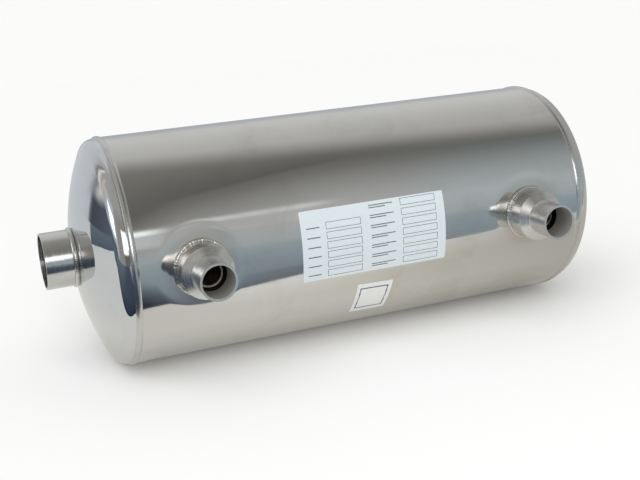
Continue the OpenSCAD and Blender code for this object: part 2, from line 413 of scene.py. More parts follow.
tree, shader, relief, distance, depth = reopen("coil_tube")
collar_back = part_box("right_collar")[1].y
collar = calc(tree, "MULTIPLY", calc(tree, "GREATER_THAN", distance, tube_r + TUBE_CLEARANCE),
              calc(tree, "LESS_THAN", depth, collar_back + COLLAR_CLEARANCE))
# The collars get the same near-black painted shade as the inside behind the cone.
lay_over(tree, shader.inputs["Base Color"], collar, PAINTED_DEEP_SHADE)
lay_over(tree, shader.inputs["Roughness"], collar, MATT_ROUGH)
print("coil tube", len(tree.nodes), "nodes")

# %% [markdown]
# ## Weld beads
# A weld bead is a row of small overlapping ripples. Round a pool nozzle it is a plain ring. Round a heating
# stub it follows the saddle line where a small cylinder meets a large one. Modelling each ripple by hand
# would be slow, and a bump map would leave the outline smooth. Geometry Nodes do it by rule: a circle is
# lifted onto the cylinder, and a round section that swells and shrinks is swept along it. With a cylinder of
# radius 0 the circle stays flat, which makes the plain ring.

# %% Geometry Nodes: the line that a weld follows
RING_POINTS = 900

weld_tree, takes, gives = new_group(
    "weld_bead_tree", "GeometryNodeTree",
    [("Ring radius", "Float", 0.02), ("Shell radius", "Float", 0.0), ("Bead radius", "Float", 0.002),
     ("Ripples", "Int", 60), ("Ripple depth", "Float", 0.1), ("Unevenness", "Float", 0.2),
     ("Seed", "Float", 0.0), ("Place", "Vector", (0.0, 0.0, 0.0)), ("Turn", "Vector", (0.0, 0.0, 0.0)),
     ("Finish", "Material", None)],
)
ring = add(weld_tree, "GeometryNodeCurvePrimitiveCircle",
           {"Resolution": RING_POINTS, "Radius": takes["Ring radius"]})
here = add(weld_tree, "GeometryNodeInputPosition").outputs[0]
across = add(weld_tree, "ShaderNodeSeparateXYZ", {0: here}).outputs[1]
squared = calc(weld_tree, "SUBTRACT",
               calc(weld_tree, "MULTIPLY", takes["Shell radius"], takes["Shell radius"]),
               calc(weld_tree, "MULTIPLY", across, across))
lift = calc(weld_tree, "SQRT", calc(weld_tree, "MAXIMUM", squared, 0.0))
lifted = add(weld_tree, "ShaderNodeCombineXYZ", {"Z": lift}).outputs[0]
on_shell = add(weld_tree, "GeometryNodeSetPosition", {"Geometry": ring.outputs[0], "Offset": lifted})
print("line of the weld", len(weld_tree.nodes), "nodes")


# %% Geometry Nodes: ripples and a round section along that line
def end_tree(tree, geometry, finish, gives):
    """Every tree that makes a piece ends in real geometry with its finish on it."""
    whole = add(tree, "GeometryNodeRealizeInstances", {0: geometry})
    dressed = add(tree, "GeometryNodeSetMaterial", {"Geometry": whole.outputs[0], "Material": finish})
    feed(tree, gives["Geometry"], dressed.outputs[0])
    print(tree.name, len(tree.nodes), "nodes")


SECTION_POINTS = 14
WANDER_PER_METRE = 160.0

share = add(weld_tree, "GeometryNodeSplineParameter").outputs["Factor"]
phase = calc(weld_tree, "MULTIPLY", calc(weld_tree, "MULTIPLY", share, takes["Ripples"]), math.pi)
crest = calc(weld_tree, "ABSOLUTE", calc(weld_tree, "SINE", phase))
ripple = calc(weld_tree, "MULTIPLY", calc(weld_tree, "SUBTRACT", crest, 1.0), takes["Ripple depth"])
wander = add(weld_tree, "ShaderNodeTexNoise",
             {"Vector": here, "W": takes["Seed"], "Scale": WANDER_PER_METRE, "Detail": 2.0},
             noise_dimensions="4D").outputs[0]
uneven = calc(weld_tree, "MULTIPLY", calc(weld_tree, "SUBTRACT", wander, 0.5), takes["Unevenness"])
swelling = calc(weld_tree, "ADD", calc(weld_tree, "ADD", ripple, uneven), 1.0)
thickness = calc(weld_tree, "MULTIPLY", swelling, takes["Bead radius"])
section = add(weld_tree, "GeometryNodeCurvePrimitiveCircle", {"Resolution": SECTION_POINTS, "Radius": 1.0})
swept = add(weld_tree, "GeometryNodeCurveToMesh", {
    "Curve": on_shell.outputs[0], "Profile Curve": section.outputs[0], "Scale": thickness})
smooth = add(weld_tree, "GeometryNodeSetShadeSmooth", {0: swept.outputs[0]})
laid = add(weld_tree, "GeometryNodeTransform",
           {"Geometry": smooth.outputs[0], "Translation": takes["Place"], "Rotation": takes["Turn"]})
end_tree(weld_tree, laid.outputs[0], takes["Finish"], gives)

# %% [markdown]
# ## From a tree to a plain piece
# A piece that keeps a live modifier can't be exported safely. So the tree runs once on an empty mesh, the
# result is kept as a plain mesh, and the modifier goes.


# %% Helper: run a tree and keep its mesh
def grow(name, tree, slot=None, **sizes):
    """A new piece from a tree. An underscore in the name of a size stands for a space."""
    piece = bpy.data.objects.new(name, bpy.data.meshes.new(name))
    put_in(piece)
    runner = piece.modifiers.new("grow", "NODES")
    runner.node_group = tree
    for item in tree.interface.items_tree:
        wanted = item.name.replace(" ", "_")
        if item.in_out == "INPUT" and wanted in sizes:
            runner[item.identifier] = sizes[wanted]
    depsgraph = bpy.context.evaluated_depsgraph_get()
    made = bpy.data.meshes.new_from_object(piece.evaluated_get(depsgraph), depsgraph=depsgraph)
    piece.modifiers.remove(runner)
    piece.data = made
    made.name = name
    made.materials.clear()
    made.materials.append(sizes["Finish"])
    made.polygons.foreach_set("material_index", [0] * len(made.polygons))
    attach(piece, "root")
    print(name, len(made.polygons), "faces in", sizes["Finish"].name)
    return piece


print("helper for pieces is ready")

# %% Lay the four weld beads
STUB_BEAD_OUT, STUB_BEAD_UP = 0.0009, 0.0006
POOL_BEAD_R = 0.0023
POOL_WELD = {"Shell_radius": 0.0, "Bead_radius": POOL_BEAD_R, "Ripples": 84, "Ripple_depth": 0.03,
             "Unevenness": 0.12, "Turn": (0.0, math.pi / 2, 0.0), "Finish": finishes["weld_bead"]}
STUB_WELD = {"Ring_radius": stub_r + STUB_BEAD_OUT, "Shell_radius": shell_r + STUB_BEAD_UP,
             "Bead_radius": 0.0019, "Ripples": 54, "Ripple_depth": 0.06, "Unevenness": 0.75,
             "Turn": (math.pi / 2, 0.0, 0.0), "Finish": finishes["weld_bead"]}

for side, sign, pool_seed, stub_seed in (("left", -1, 3.0, 4.5), ("right", 1, 8.0, 9.5)):
    low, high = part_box(side + "_pool_bead")
    edge = low.x if sign < 0 else high.x
    bead = grow(side + "_pool_weld", weld_tree, "weld_bead", Ring_radius=(high.y - low.y) / 2 - POOL_BEAD_R,
                Place=(edge - sign * POOL_BEAD_R, axis.y, axis.z), Seed=pool_seed, **POOL_WELD)
    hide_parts(side + "_pool_bead")
    bead = grow(side + "_stub_weld", weld_tree, "weld_bead", Place=(sign * heat_x, axis.y, axis.z),
                Seed=stub_seed, **STUB_WELD)
    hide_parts(side + "_stub_bead")

# %% [markdown]
# ## Paper and ink
# The data label and the small sticker are coated paper with a little gloss. Paper is never quite even, so a
# fine mottle and a few marks change its colour, and the marks its shine. A single colour would look like
# plastic. The dark inks sink into the paper and show the same mottle, so one function makes all four.

# %% Paper and ink finishes
FIBRES = (1400, 1400, 1400)
PAPER_MARK_SIZE, PAPER_MARK_COVER, PAPER_MARK_ROUGH = 0.02, 0.4, 0.15
FIBRE_SHARE, MARK_SHARE = 0.35, 0.5
FIBRE_DEPTH = 4e-6
COAT_ROUGH = 0.2


def paper_finish(name, tone, shade, rough, coat):
    """tone and shade are the two colours of the mottle, coat is the share of gloss."""
    finish, tree, spot = blank_finish(name)
    fibre = place(tree, fine_lines, Coordinates=spot, Stretch=FIBRES)["Lines"]
    marks = place(tree, handling_marks, Coordinates=spot, Size=PAPER_MARK_SIZE,
                  Cover=PAPER_MARK_COVER)["Marks"]
    mottle = calc(tree, "MULTIPLY_ADD", fibre, FIBRE_SHARE, calc(tree, "MULTIPLY", marks, MARK_SHARE))
    shader = add(tree, "ShaderNodeBsdfPrincipled", {
        "Base Color": mix(tree, mottle, tone, shade),
        "Roughness": calc(tree, "MULTIPLY_ADD", marks, PAPER_MARK_ROUGH, rough),
        "Coat Weight": coat, "Coat Roughness": COAT_ROUGH,
        "Normal": bump(tree, calc(tree, "MULTIPLY", fibre, FIBRE_DEPTH))})
    add(tree, "ShaderNodeOutputMaterial", {"Surface": shader.outputs[0]})
    print(name, len(tree.nodes), "nodes")
    return finish


label_paper = paper_finish("label_paper", (0.61, 0.675, 0.70), (0.57, 0.635, 0.665), rough=0.42, coat=0.15)
label_ink = paper_finish("label_ink", (0.10, 0.11, 0.13), (0.16, 0.17, 0.19), rough=0.5, coat=0.1)
sticker_paper = paper_finish("sticker_paper", (0.74, 0.74, 0.72), (0.69, 0.69, 0.67), rough=0.4, coat=0.2)
sticker_ink = paper_finish("sticker_ink", (0.02, 0.05, 0.16), (0.04, 0.08, 0.21), rough=0.45, coat=0.2)

# %% [markdown]
# ## Sheets that lie on the cylinder
# A label is a flat sheet bent round the cylinder. It could be shrink-wrapped on, but the cylinder is exact,
# so a rule is enough: a place on the sheet is so far along the cylinder and so far round it. A Grid is given
# rounded corners by pulling its corner points in, is extruded by its thickness, and then bent.

# %% Geometry Nodes: bend flat geometry round the cylinder
# What every sheet and its print have to know: the cylinder, and where on it they lie.
SEAT = [("Shell radius", "Float", 0.1), ("Axis", "Vector", (0.0, 0.0, 0.0)), ("Slant", "Float", 0.0),
        ("Middle", "Vector", (0.0, 0.0, 0.0))]

wrap, takes, gives = new_group(
    "wrap_on_cylinder", "GeometryNodeTree",
    [("Geometry", "Geometry", None), ("Rise", "Float", 0.0002), *SEAT],
)
slanted = add(wrap, "ShaderNodeCombineXYZ", {"Z": takes["Slant"]}).outputs[0]
turned = add(wrap, "GeometryNodeTransform", {
    "Geometry": takes["Geometry"], "Translation": takes["Middle"], "Rotation": slanted}).outputs[0]
here = add(wrap, "GeometryNodeInputPosition").outputs[0]
along, round_it, off_it = add(wrap, "ShaderNodeSeparateXYZ", {0: here}).outputs
angle = calc(wrap, "DIVIDE", round_it, takes["Shell radius"])
out_to = calc(wrap, "ADD", calc(wrap, "ADD", takes["Shell radius"], takes["Rise"]), off_it)
bent = add(wrap, "ShaderNodeCombineXYZ", {
    "X": along,
    "Y": calc(wrap, "MULTIPLY", calc(wrap, "COSINE", angle), calc(wrap, "MULTIPLY", out_to, -1.0)),
    "Z": calc(wrap, "MULTIPLY", calc(wrap, "SINE", angle), out_to)}).outputs[0]
seated = add(wrap, "ShaderNodeVectorMath", {0: bent, 1: takes["Axis"]}, operation="ADD").outputs[0]
wrapped = add(wrap, "GeometryNodeSetPosition", {"Geometry": turned, "Position": seated})
feed(wrap, gives["Geometry"], wrapped.outputs[0])


def wrap_on(tree, geometry, rise, takes):
    """Geometry bent round the cylinder, with the seat that its tree takes."""
    seat = {name.replace(" ", "_"): takes[name] for name, _, _ in SEAT}
    return place(tree, wrap, "GeometryNodeGroup", Geometry=geometry, Rise=rise, **seat)["Geometry"]


print(wrap.name, len(wrap.nodes), "nodes")

# %% Geometry Nodes: a grid with rounded corners
GRID_COLUMNS, GRID_ROWS = 60, 40
TINY = 1e-6

sheet_tree, takes, gives = new_group(
    "sheet_tree", "GeometryNodeTree",
    [("Width", "Float", 0.1), ("Height", "Float", 0.1), ("Corner", "Float", 0.002),
     ("Thickness", "Float", 0.0002), *SEAT, ("Finish", "Material", None)],
)


def on_sheet(operation, a, b=0.0):
    """A Math node in the tree of the sheet."""
    return calc(sheet_tree, operation, a, b)


grid = add(sheet_tree, "GeometryNodeMeshGrid", {
    "Size X": takes["Width"], "Size Y": takes["Height"], "Vertices X": GRID_COLUMNS, "Vertices Y": GRID_ROWS})
here = add(sheet_tree, "GeometryNodeInputPosition").outputs[0]
spot = add(sheet_tree, "ShaderNodeSeparateXYZ", {0: here}).outputs
past = []
for at, size in ((spot[0], takes["Width"]), (spot[1], takes["Height"])):
    straight = on_sheet("SUBTRACT", on_sheet("MULTIPLY", size, 0.5), takes["Corner"])
    past.append(on_sheet("MAXIMUM", on_sheet("SUBTRACT", on_sheet("ABSOLUTE", at), straight), 0.0))
squares = on_sheet("ADD", *(on_sheet("MULTIPLY", length, length) for length in past))
reach = on_sheet("MAXIMUM", on_sheet("SQRT", squares), TINY)
pull = on_sheet("MINIMUM", on_sheet("DIVIDE", takes["Corner"], reach), 1.0)
less = on_sheet("SUBTRACT", pull, 1.0)
shift = add(sheet_tree, "ShaderNodeCombineXYZ", {
    at: on_sheet("MULTIPLY", on_sheet("MULTIPLY", past[at], less), on_sheet("SIGN", spot[at]))
    for at in (0, 1)})
cut = add(sheet_tree, "GeometryNodeSetPosition", {"Geometry": grid.outputs[0], "Offset": shift.outputs[0]})
print("rounded grid", len(sheet_tree.nodes), "nodes")

# %% Geometry Nodes: the grid's thickness and its bend
SHEET_GAP = 2e-5

up = add(sheet_tree, "ShaderNodeCombineXYZ", {"Z": takes["Thickness"]}).outputs[0]
thick = add(sheet_tree, "GeometryNodeExtrudeMesh",
            {"Mesh": cut.outputs[0], "Offset": up, "Offset Scale": 1.0, "Individual": False})
bent = wrap_on(sheet_tree, thick.outputs[0], SHEET_GAP, takes)
end_tree(sheet_tree, bent, takes["Finish"], gives)

# %% [markdown]
# ## Print on the label
# The label is a form: two columns of thin boxes, with short captions to the left of each column. The boxes
# are blank and the captions are plain grey bars. All of it could be drawn mark by mark. But a column is the
# same mark repeated, so it is one Geometry Nodes group, used once for each column, and all of it is bent onto
# the cylinder with the group that bent the sheet.

# %% Geometry Nodes: one column of boxes or bars
column, takes, gives = new_group(
    "mark_column", "GeometryNodeTree",
    [("Count", "Int", 6), ("Pitch", "Float", 0.009), ("Start", "Vector", (0.0, 0.0, 0.0)),
     ("Width", "Float", 0.03), ("Height", "Float", 0.006), ("Line", "Float", 0.0004),
     ("Outlined", "Bool", True)],
)
outer_edge = add(column, "GeometryNodeCurvePrimitiveQuadrilateral",
                 {"Width": takes["Width"], "Height": takes["Height"]}).outputs[0]
inner_edge = add(column, "GeometryNodeCurvePrimitiveQuadrilateral", {
    size: calc(column, "MULTIPLY_ADD", takes["Line"], -2.0, takes[size]) for size in ("Width", "Height")
}).outputs[0]
both_edges = add(column, "GeometryNodeJoinGeometry")
for edge in (outer_edge, inner_edge):
    column.links.new(edge, both_edges.inputs[0])
either = add(column, "GeometryNodeSwitch",
             {"Switch": takes["Outlined"], "False": outer_edge, "True": both_edges.outputs[0]},
             input_type="GEOMETRY")
mark = add(column, "GeometryNodeFillCurve", {0: either.outputs[0]})
downward = calc(column, "MULTIPLY", takes["Pitch"], -1.0)
to_next = add(column, "ShaderNodeCombineXYZ", {"Y": downward}).outputs[0]
places = add(column, "GeometryNodeMeshLine",
             {"Count": takes["Count"], "Start Location": takes["Start"], "Offset": to_next})
stood = add(column, "GeometryNodeInstanceOnPoints",
            {"Points": places.outputs[0], "Instance": mark.outputs[0]})
whole = add(column, "GeometryNodeRealizeInstances", {0: stood.outputs[0]})
feed(column, gives["Geometry"], whole.outputs[0])
print(column.name, len(column.nodes), "nodes")

# %% Geometry Nodes: several columns on one sheet
SPLITS_FOR_BENDING = 2


def print_tree(name, columns):
    """columns lists the inputs of each column, in metres from the middle of the sheet."""
    tree, takes, gives = new_group(
        name, "GeometryNodeTree",
        [("Rise", "Float", 0.0003), *SEAT, ("Finish", "Material", None)],
    )
    joined = add(tree, "GeometryNodeJoinGeometry")
    for inputs in columns:
        marks = place(tree, column, "GeometryNodeGroup", **inputs)["Geometry"]
        tree.links.new(marks, joined.inputs[0])
    fine = add(tree, "GeometryNodeSubdivideMesh", {"Mesh": joined.outputs[0], "Level": SPLITS_FOR_BENDING})
    bent = wrap_on(tree, fine.outputs[0], takes["Rise"], takes)
    end_tree(tree, bent, takes["Finish"], gives)
    return tree


def boxes(count, pitch, x, y, width, height, line):
    """A column of outlined boxes, from the middle of its top box down."""
    return {"Count": count, "Pitch": pitch, "Start": (x, y, 0.0), "Width": width, "Height": height,
            "Line": line, "Outlined": True}


def bars(count, pitch, x, y, width, height):
    """A column of solid bars, from the middle of its top bar down."""
    return {**boxes(count, pitch, x, y, width, height, 0.0), "Outlined": False}


print("helpers for print are ready")

# %% The data label and its print
PAPER = {"Corner": 0.0008, "Thickness": 0.00015}
PRINT_RISE = 0.00022
ON_SHELL = {"Shell_radius": shell_r, "Axis": (0.0, axis.y, axis.z)}
LABEL = {**ON_SHELL, "Slant": 0.0, "Middle": (0.0, 0.0017, 0.0)}
LEFT_PITCH, RIGHT_PITCH = 0.0092, 0.0095
BOX_HEIGHT, BOX_LINE = 0.0068, 0.00045

grow("data_label", sheet_tree, Width=0.1487, Height=0.0683, Finish=label_paper, **PAPER, **LABEL)
label_form = print_tree("label_form_tree", [
    boxes(6, LEFT_PITCH, -0.0318, 0.0180, 0.0354, BOX_HEIGHT, BOX_LINE),
    boxes(7, RIGHT_PITCH, 0.0469, 0.0293, 0.0369, BOX_HEIGHT, BOX_LINE),
    bars(6, LEFT_PITCH, -0.0625, 0.0176, 0.0130, 0.0010),
    bars(7, RIGHT_PITCH, 0.0080, 0.0303, 0.0250, 0.0009),
    bars(7, RIGHT_PITCH, 0.0040, 0.0281, 0.0170, 0.0009),
])
grow("label_print", label_form, Rise=PRINT_RISE, Finish=label_ink, **LABEL)

# %% [markdown]
# ## The small sticker
# Below the label sits a small white sticker, put on by hand and so a little slanted. Its plain blue border
# could be a second colour in the paper's finish, but one outlined box from the same group has a sharper edge.

# %% The sticker and its border
STICKER = {**ON_SHELL, "Slant": -0.035, "Middle": (0.0010, -0.0686, 0.0)}

grow("sticker", sheet_tree, Width=0.0375, Height=0.0419, Finish=sticker_paper, **PAPER, **STICKER)
border = print_tree("sticker_border_tree", [boxes(1, 0.0, 0.0, 0.0, 0.0300, 0.0310, 0.0013)])
grow("sticker_border", border, Rise=PRINT_RISE, Finish=sticker_ink, **STICKER)

# %% [markdown]
# ## Floor, light and the screens that polished steel needs
# Polished steel has hardly any colour of its own: it shows what stands round it. So the light comes in two
# parts. A soft sun, a window lamp and a white sky light the floor and the paper at a plain level. Then
# screens that only reflections see give the steel its bright, dark and bluish bands: an arch, part of a
# dome, two sheets on the floor and a wall. A picture of a room could do the same, but this script reads no
# pictures, and a screen's bands can be set one by one.

# %% Floor
FLOOR_REACH = 60

floor_paint = bpy.data.materials.new("pale_floor")
floor_paint.use_nodes = True
paint = floor_paint.node_tree.nodes["Principled BSDF"]
paint.inputs["Base Color"].default_value = (0.97, 0.968, 0.963, 1.0)
paint.inputs["Roughness"].default_value = 0.9
paint.inputs["Specular IOR Level"].default_value = 0.1

floor_mesh = bpy.data.meshes.new("floor")
floor_corners = [(x * FLOOR_REACH, y * FLOOR_REACH, 0) for x, y in ((-1, -1), (1, -1), (1, 1), (-1, 1))]
floor_mesh.from_pydata(floor_corners, [], [(0, 1, 2, 3)])
floor_mesh.materials.append(floor_paint)
floor = bpy.data.objects.new("floor", floor_mesh)
put_in(floor)
print("floor", 2 * FLOOR_REACH, "m wide")

# %% Sky: white to the eye, and weaker as a lamp
SKY_AS_LAMP = 0.66

world = bpy.data.worlds.new("white_sky")
bpy.context.scene.world = world
world.use_nodes = True
sky = world.node_tree
path = add(sky, "ShaderNodeLightPath").outputs
seen = calc(sky, "MAXIMUM", path["Is Camera Ray"], path["Is Glossy Ray"])
seen = calc(sky, "MAXIMUM", seen, path["Is Transmission Ray"])
background = sky.nodes["Background"].inputs
background["Color"].default_value = (1.0, 1.0, 1.0, 1.0)
feed(sky, background["Strength"], calc(sky, "MULTIPLY_ADD", seen, 1.0 - SKY_AS_LAMP, SKY_AS_LAMP))
print("sky", world.name)


# %% Lamps
def lamp(name, kind, where, aim, **settings):
    """A lamp at one place that shines towards another."""
    light = bpy.data.lights.new(name, kind)
    for key, value in settings.items():
        setattr(light, key, value)
    made = bpy.data.objects.new(name, light)
    facing = (Vector(aim) - Vector(where)).to_track_quat("-Z", "Y").to_matrix().to_4x4()
    made.matrix_world = Matrix.Translation(where) @ facing
    put_in(made)
    return made


soft_sun = lamp("soft_sun", "SUN", where=(-1.2, -1.6, 2.6), aim=(0, 0, 0.1), energy=1.35,
                angle=math.radians(70))
soft_sun.visible_glossy = False
window = lamp("window", "AREA", where=(-0.35, -2.3, 0.95), aim=(-0.1, 0, 0.11), energy=7.0,
              shape="RECTANGLE", size=0.62, size_y=0.5)
print("lamps", soft_sun.name, window.name)


# %% Helpers: smooth steps and colours
def step(value, low, high):
    """0 below low, 1 above high and smooth between."""
    share = min(max((value - low) / (high - low), 0.0), 1.0)
    return share * share * (3.0 - 2.0 * share)


def inside(value, low, high, soft):
    """1 between low and high, falling to 0 within soft on either side."""
    return step(value, low - soft, low) * (1.0 - step(value, high, high + soft))


def blend(first, second, share):
    """Part of the way from the first colour to the second."""
    return tuple(a + (b - a) * share for a, b in zip(first, second))


def times(colour, factors):
    """A colour with each of its three parts made stronger or weaker."""
    return tuple(a * b for a, b in zip(colour, factors))


def stops(value, pairs):
    """The colour at a value, from a rising list of (value, colour)."""
    for (low, first), (high, second) in zip(pairs, pairs[1:]):
        if value < high:
            return blend(first, second, max(value - low, 0.0) / (high - low))
    return pairs[-1][1]


print("a smooth step half way", step(0.5, 0.0, 1.0))

# %% Helper: a painted screen that only reflections see
screen_glow = bpy.data.materials.new("screen_glow")
screen_glow.use_nodes = True
screen_glow.node_tree.nodes.clear()
paint = add(screen_glow.node_tree, "ShaderNodeAttribute", attribute_name="light").outputs["Color"]
glow = add(screen_glow.node_tree, "ShaderNodeEmission", {"Color": paint, "Strength": 1.0})
add(screen_glow.node_tree, "ShaderNodeOutputMaterial", {"Surface": glow.outputs[0]})
screen_glow.cycles.emission_sampling = "NONE"


def screen(name, columns, rows, where, colour):
    """where gives a place, and colour a light, for each column and row."""
    spots = [(across, along) for along in rows for across in columns]
    wide = len(columns)
    starts = [k for k in range(len(spots) - wide) if (k + 1) % wide]
    mesh = bpy.data.meshes.new(name)
    mesh.from_pydata([where(*spot) for spot in spots], [],
                     [(k, k + 1, k + wide + 1, k + wide) for k in starts])
    light = mesh.color_attributes.new("light", "FLOAT_COLOR", "POINT")
    light.data.foreach_set("color", [part for spot in spots for part in (*colour(*spot), 1.0)])
    mesh.materials.append(screen_glow)
    made = bpy.data.objects.new(name, mesh)
    put_in(made)
    made.visible_camera = made.visible_diffuse = made.visible_shadow = made.visible_transmission = False
    print(name, len(mesh.polygons), "faces")


print("screens glow by", screen_glow.name)

# %% [markdown]
# ## Arch over the cylinder
# A cylinder shows its surroundings as bands along its length, so an arch round the same axis sets each band
# by its angle: bluish and mid grey low in front, dark from a slanting line up to near the top, pale above and
# behind, and a bright window low at the left. Lamps could make the bright bands, but not the dark ones.

# %% Arch: where its bands lie and their colours
ARCH_R = 1.9
ARCH_START, ARCH_END, ARCH_COLUMNS, ARCH_CROWDING = -0.25, 1.9, 80, 1.5
ARCH_ANGLES = range(-4, 186)

# The angle of the slanting line in degrees, at places along the cylinder in metres.
LINE = [(-0.2, (0.0,)), (0.0, (20.0,)), (0.1, (39.0,)), (0.225, (55.0,)), (0.55, (69.0,)), (0.7, (72.0,)),
        (2.0, (69.0,))]
# Where the dark band ends above: an angle at one place, and its fall for each metre along the cylinder.
TOP_ANGLE, TOP_AT, TOP_FALL = 101.5, 0.1, 13.6

# Colours by degrees below the line, and by the angle above the dark band.
UNDER_LINE = [(0, (0.175, 0.17, 0.16)), (9, (0.22, 0.215, 0.205)), (18, (0.29, 0.29, 0.28)),
              (27, (0.36, 0.36, 0.355)), (38, (0.44, 0.445, 0.44)), (52, (0.52, 0.53, 0.53)),
              (90, (0.55, 0.56, 0.56))]
PALE = [(98, (0.52, 0.515, 0.50)), (122, (0.62, 0.62, 0.61)), (138, (0.68, 0.68, 0.675)),
        (150, (0.68, 0.68, 0.68)), (166, (0.46, 0.49, 0.51)), (184, (0.42, 0.46, 0.49))]
RIGHT_CAST = (0.95, 1.03, 1.07)
NEAR_FLOOR = (0.42, 0.47, 0.49)
LEFT_DARK_LOW, LEFT_DARK_HIGH = (0.20, 0.185, 0.165), (0.34, 0.32, 0.30)
DARK_NEAR, DARK_FAR, DARK_HIGH = (0.15, 0.15, 0.14), (0.20, 0.20, 0.19), (0.24, 0.235, 0.22)
SEAM, HAZE = (0.10, 0.10, 0.09), (0.85, 0.86, 0.86)
WINDOW_GLOW, WINDOW = (0.72, 0.75, 0.76), (1.35, 1.42, 1.46)
print("arch", ARCH_R, "m in radius, from x", ARCH_START, "to", ARCH_END)


# %% Arch
def on_arch(x, angle):
    """The angle goes up from straight in front of the axis, in degrees."""
    turn = math.radians(angle)
    return (x, axis.y - ARCH_R * math.cos(turn), axis.z + ARCH_R * math.sin(turn))


def arch_light(x, angle):
    """x in metres, angle in degrees: bands below and above the line, pale top, haze and window."""
    line = stops(x, LINE)[0]
    top = TOP_ANGLE - TOP_FALL * (x - TOP_AT)
    low = stops(line - angle, UNDER_LINE)
    low = blend(low, times(low, RIGHT_CAST), step(x, 0.7, 1.2))
    low = blend(NEAR_FLOOR, low, step(angle, -4, 16))
    left_dark = blend(LEFT_DARK_LOW, LEFT_DARK_HIGH, step(angle, 30, 95))
    dark = blend(DARK_NEAR, DARK_FAR, step(x, 0.5, 1.3))
    dark = blend(dark, DARK_HIGH, step(angle, line, top))
    dark = blend(left_dark, dark, step(x, -0.05, 0.05))
    band = blend(low, dark, step(angle, line - 1.5, line + 1.5))
    seam = math.exp(-((angle - line) / 1.3) ** 2) * (1.0 - step(x, 0.55, 0.75))
    band = blend(band, SEAM, 0.5 * seam)
    shown = blend(band, stops(angle, PALE), step(angle, top - 15, top + 11))
    haze = 0.7 * inside(angle, 28, 30, 2) + 0.2 * inside(angle, 18, 27, 4)
    shown = blend(shown, HAZE, inside(x, 0.30, 0.60, 0.08) * haze)
    shown = blend(shown, WINDOW_GLOW, 0.7 * inside(x, -1.0, 0.15, 0.06) * inside(angle, 14, 26, 5))
    left = 1.0 - step(x, -0.08, 0.02)
    window_height = inside(angle, 24.5 - 11 * left, 27 - 3 * left, 1.5)
    return blend(shown, WINDOW, inside(x, -1.0, 0.13, 0.05) * window_height)


shares = [(i / ARCH_COLUMNS) ** ARCH_CROWDING for i in range(ARCH_COLUMNS + 1)]
arch_columns = [ARCH_START + (ARCH_END - ARCH_START) * share for share in shares]
screen("arch", arch_columns, ARCH_ANGLES, on_arch, arch_light)

# %% [markdown]
# ## Dome at the left end
# The dished end is a mirror that shows half the room at once. A flat screen would cover too little of it, so
# a part of a sphere round it carries a grey wall with a pale back, three slanting streaks, a dark foot and
# two windows, by direction and height.

# %% Dome: its colours
DOME_R = 2.4
DOME_SIDES, DOME_HEIGHTS = range(-95, 116, 2), range(-3, 91)

# The wall's colours by direction in degrees, from the front round to the back.
ROUND_THE_WALL = [(-60, (0.30, 0.29, 0.27)), (-25, (0.33, 0.315, 0.29)), (-10, (0.43, 0.41, 0.37)),
                  (15, (0.41, 0.41, 0.41)), (60, (0.60, 0.62, 0.65)), (110, (0.63, 0.65, 0.68))]
HIGH_UP, BLUE_HAZE = (0.41, 0.41, 0.40), (0.50, 0.55, 0.60)
DARK_STREAK, PALE_STREAK, WARM_STREAK = (0.17, 0.18, 0.19), (0.88, 0.85, 0.76), (0.72, 0.56, 0.44)
FRONT_FOOT, FOOT, BACK_FOOT = (0.15, 0.15, 0.16), (0.11, 0.13, 0.17), (0.07, 0.08, 0.10)
FRONT_WINDOW, SIDE_WINDOW = (1.6, 1.6, 1.6), (2.0, 2.1, 2.2)
dome_middle = Vector((shell_low.x, axis.y, axis.z))
print("dome", DOME_R, "m in radius round", [round(c, 4) for c in dome_middle])


# %% Dome
def on_dome(side, up):
    """side turns from -X towards +Y, up is the height, both in degrees."""
    side, up = math.radians(side), math.radians(up)
    outward = (-math.cos(up) * math.cos(side), math.cos(up) * math.sin(side), math.sin(up))
    return dome_middle + DOME_R * Vector(outward)


def streak(side, up, low, high, width):
    """1 on a slanting line between two (side, up) points, falling to 0 beside it and past its ends."""
    share = (up - low[1]) / (high[1] - low[1])
    middle = low[0] + (high[0] - low[0]) * share
    return inside(up, low[1], high[1], 6) * math.exp(-((side - middle) / width) ** 2)


def dome_light(side, up):
    """side and up in degrees: the wall, then haze, streaks, the dark foot and two windows over it."""
    shown = stops(side, ROUND_THE_WALL)
    shown = blend(shown, HIGH_UP, 0.7 * step(up, 35, 50) * (1.0 - step(side, 40, 70)))
    shown = blend(shown, BLUE_HAZE, inside(side, -20, 18, 8) * inside(up, 4, 38, 6))
    shown = blend(shown, DARK_STREAK, 0.8 * streak(side, up, (48, 8), (33, 60), 4))
    shown = blend(shown, PALE_STREAK, streak(side, up, (42, 10), (27, 62), 2.5))
    shown = blend(shown, WARM_STREAK, streak(side, up, (36, 8), (14, 50), 2))
    shown = blend(shown, FRONT_FOOT, (1.0 - step(side, -66, -58)) * (1.0 - step(up, 6, 9)))
    foot = blend(FOOT, BACK_FOOT, step(side, 25, 46))
    shown = blend(shown, foot, inside(side, -10, 48, 3) * (1.0 - step(up, 4, 7)))
    shown = blend(shown, FRONT_WINDOW, (1.0 - step(side, -62, -58)) * inside(up, 9, 29, 1.5))
    return blend(shown, SIDE_WINDOW, inside(side, -14, 10, 2) * inside(up, 12, 27, 2))


screen("left_dome", DOME_SIDES, DOME_HEIGHTS, on_dome, dome_light)

# %% [markdown]
# ## Table top and its dark surround
# In the steel the floor is a warm pale table, darker to the right, with a painted shadow under the object.
# Past its front edge it turns dark blue, then grey blue. The floor's own paint could carry that, but then
# the camera would see it too. So two sheets just above the floor do it, the upper one in rows that run
# outward from the table's edge.

# %% Table top
TABLE_HEIGHT = 0.001
TABLE_COLUMNS = [-2.7, -2.0, -1.4, *(0.05 * i for i in range(-20, 21)), 1.4, 1.9]
TABLE_ROWS = [-0.8, -0.6, *(0.025 * i for i in range(-18, 13)), 0.6, 1.2, 2.0, 3.0]

